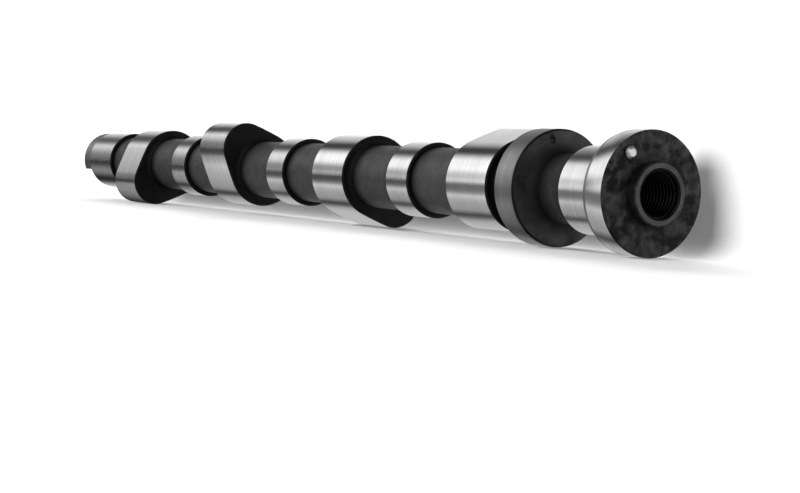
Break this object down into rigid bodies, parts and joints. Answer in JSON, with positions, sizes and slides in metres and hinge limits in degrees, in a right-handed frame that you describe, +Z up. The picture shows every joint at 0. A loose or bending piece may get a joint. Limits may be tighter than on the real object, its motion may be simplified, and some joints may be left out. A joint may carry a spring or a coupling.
{
  "type": "camshaft",
  "caption": "Overhead camshaft: a cast shaft with ground cam lobes and bearing journals, a thrust disc, and a drive flange with a locating ring, a threaded bolt hole and a timing dowel.",
  "frame": {"origin": "on the shaft's axis, in the plane of the drive flange's front face, where the timing wheel seats", "axes": "+X along the axis and out of the flange's face, +Z up, as the shaft lies level on its flange and two lobe noses"},
  "size_m": [0.4179, 0.037, 0.037],
  "materials": {
    "chilled_iron": "dark as cast between bright ground bands",
    "dowel_steel": "ground and bright"
  },
  "bodies": {
    "root": {"camshaft": "chilled_iron", "dowel_pin": "dowel_steel"}
  },
  "joints": []
}
